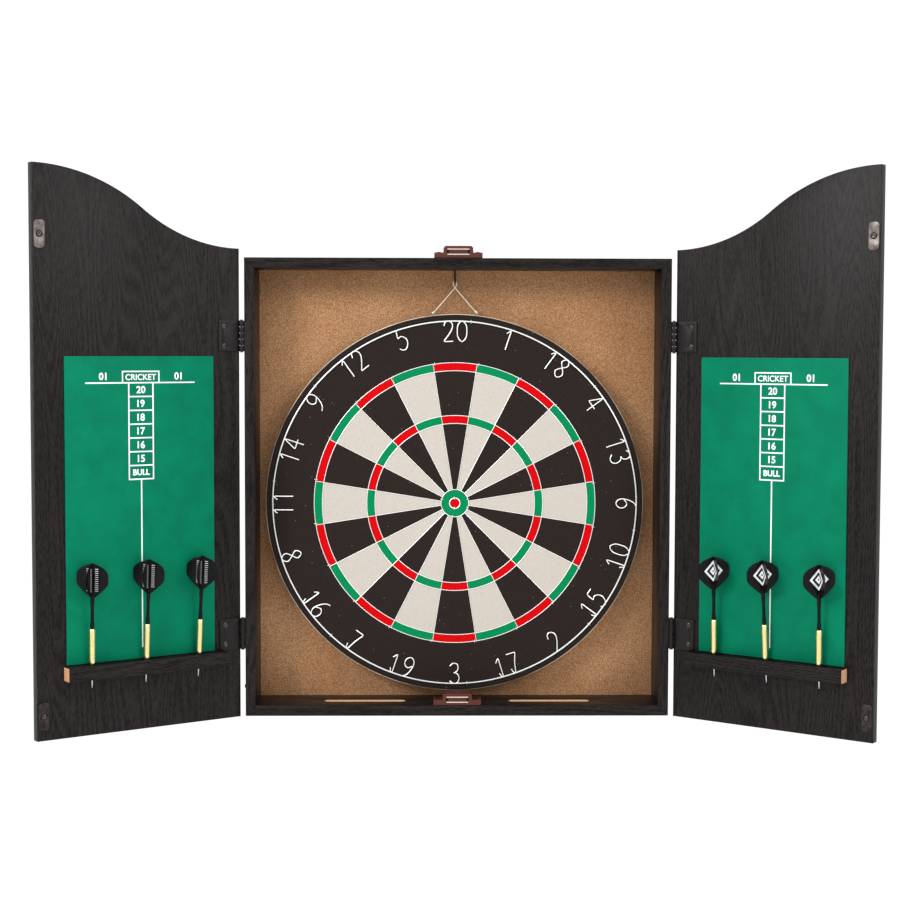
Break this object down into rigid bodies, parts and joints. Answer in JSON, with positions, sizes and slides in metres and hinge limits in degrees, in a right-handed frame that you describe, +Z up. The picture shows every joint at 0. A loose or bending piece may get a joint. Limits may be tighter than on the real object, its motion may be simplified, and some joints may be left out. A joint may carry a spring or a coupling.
{
  "type": "dart board cabinet",
  "caption": "Wall cabinet with two hinged arched doors, a hung dart board with wire number ring, scoreboards, dart racks and darts.",
  "frame": {"origin": "centre of the cabinet's back face, on the wall plane", "axes": "+X to the viewer's right, +Y into the wall, +Z up; the doors and the board face -Y"},
  "size_m": [0.9458, 0.2204, 0.643],
  "materials": {
    "chalkboard_face": "green painted hardboard with white print",
    "hardboard": "raw smooth hardboard",
    "wood_foil": "black wood-grain foil on fibreboard",
    "black_steel": "black lacquered steel",
    "brown_plastic": "moulded brown plastic",
    "magnet_poles": "steel pole plates on a ferrite magnet",
    "zinc_steel": "zinc-plated steel",
    "coiled_paper": "wound paper board with a printed face",
    "rim_band": "black steel band",
    "plated_wire": "bright plated steel wire",
    "brass": "knurled and plated brass",
    "shaft_plastic": "black nylon",
    "flight_film": "black polyester film"
  },
  "bodies": {
    "cabinet": {"back_panel": "hardboard", "board_hook": "black_steel", "cabinet_bottom": "wood_foil", "cabinet_left_side": "wood_foil", "cabinet_right_side": "wood_foil", "cabinet_top": "wood_foil", "left_lower_hinge_box_leaf": "black_steel", "left_lower_hinge_pin": "zinc_steel", "left_upper_hinge_box_leaf": "black_steel", "left_upper_hinge_pin": "zinc_steel", "lower_catch_housing": "brown_plastic", "lower_catch_magnet": "magnet_poles", "right_lower_hinge_box_leaf": "black_steel", "right_lower_hinge_pin": "zinc_steel", "right_upper_hinge_box_leaf": "black_steel", "right_upper_hinge_pin": "zinc_steel", "upper_catch_housing": "brown_plastic", "upper_catch_magnet": "magnet_poles"},
    "left_door": {"left_dart_rack": "wood_foil", "left_door_panel": "wood_foil", "left_lower_hinge_door_leaf": "black_steel", "left_lower_strike": "zinc_steel", "left_lower_strike_screw": "zinc_steel", "left_scoreboard": "chalkboard_face", "left_upper_hinge_door_leaf": "black_steel", "left_upper_strike": "zinc_steel", "left_upper_strike_screw": "zinc_steel"},
    "right_door": {"right_dart_rack": "wood_foil", "right_door_panel": "wood_foil", "right_lower_hinge_door_leaf": "black_steel", "right_lower_strike": "zinc_steel", "right_lower_strike_screw": "zinc_steel", "right_scoreboard": "chalkboard_face", "right_upper_hinge_door_leaf": "black_steel", "right_upper_strike": "zinc_steel", "right_upper_strike_screw": "zinc_steel"},
    "dartboard": {"board_hanger_wire": "plated_wire", "dartboard_bull_ring": "plated_wire", "dartboard_core": "coiled_paper", "dartboard_rim_band": "rim_band", "dartboard_spider": "plated_wire"},
    "number_ring": {"number_ring": "plated_wire"},
    "left_dart_1": {"left_dart_1_barrel": "brass", "left_dart_1_flight": "flight_film", "left_dart_1_shaft": "shaft_plastic"},
    "left_dart_2": {"left_dart_2_barrel": "brass", "left_dart_2_flight": "flight_film", "left_dart_2_shaft": "shaft_plastic"},
    "left_dart_3": {"left_dart_3_barrel": "brass", "left_dart_3_flight": "flight_film", "left_dart_3_shaft": "shaft_plastic"},
    "right_dart_1": {"right_dart_1_barrel": "brass", "right_dart_1_flight": "flight_film", "right_dart_1_shaft": "shaft_plastic"},
    "right_dart_2": {"right_dart_2_barrel": "brass", "right_dart_2_flight": "flight_film", "right_dart_2_shaft": "shaft_plastic"},
    "right_dart_3": {"right_dart_3_barrel": "brass", "right_dart_3_flight": "flight_film", "right_dart_3_shaft": "shaft_plastic"}
  },
  "joints": [
    {"name": "left_door_hinge", "type": "hinge", "parent": "cabinet", "child": "left_door", "pos_m": [-0.25575, -0.06955, 0], "axis": [0, 0, -1], "range_deg": [-146.6, 33.4]},
    {"name": "right_door_hinge", "type": "hinge", "parent": "cabinet", "child": "right_door", "pos_m": [0.25575, -0.06955, 0], "axis": [0, 0, 1], "range_deg": [-143.1, 36.9]},
    {"name": "dartboard_lift", "type": "slide", "parent": "cabinet", "child": "dartboard", "axis": [0, 0, 1], "range_m": [0, 0.003]},
    {"name": "number_ring_turn", "type": "hinge", "parent": "dartboard", "child": "number_ring", "pos_m": [-0.003, -0.031, -0.021], "axis": [0, -1, 0], "continuous": true},
    {"name": "left_dart_1_lift", "type": "slide", "parent": "left_door", "child": "left_dart_1", "axis": [0.0496, -0.0626, 0.9968], "range_m": [0, 0.04]},
    {"name": "left_dart_2_lift", "type": "slide", "parent": "left_door", "child": "left_dart_2", "axis": [0.0438, -0.0664, 0.9968], "range_m": [0, 0.04]},
    {"name": "left_dart_3_lift", "type": "slide", "parent": "left_door", "child": "left_dart_3", "axis": [0.0263, -0.078, 0.9966], "range_m": [0, 0.04]},
    {"name": "right_dart_1_lift", "type": "slide", "parent": "right_door", "child": "right_dart_1", "axis": [-0.0296, -0.0773, 0.9966], "range_m": [0, 0.04]},
    {"name": "right_dart_2_lift", "type": "slide", "parent": "right_door", "child": "right_dart_2", "axis": [-0.0583, -0.0558, 0.9967], "range_m": [0, 0.04]},
    {"name": "right_dart_3_lift", "type": "slide", "parent": "right_door", "child": "right_dart_3", "axis": [-0.031, -0.0762, 0.9966], "range_m": [0, 0.04]}
  ]
}
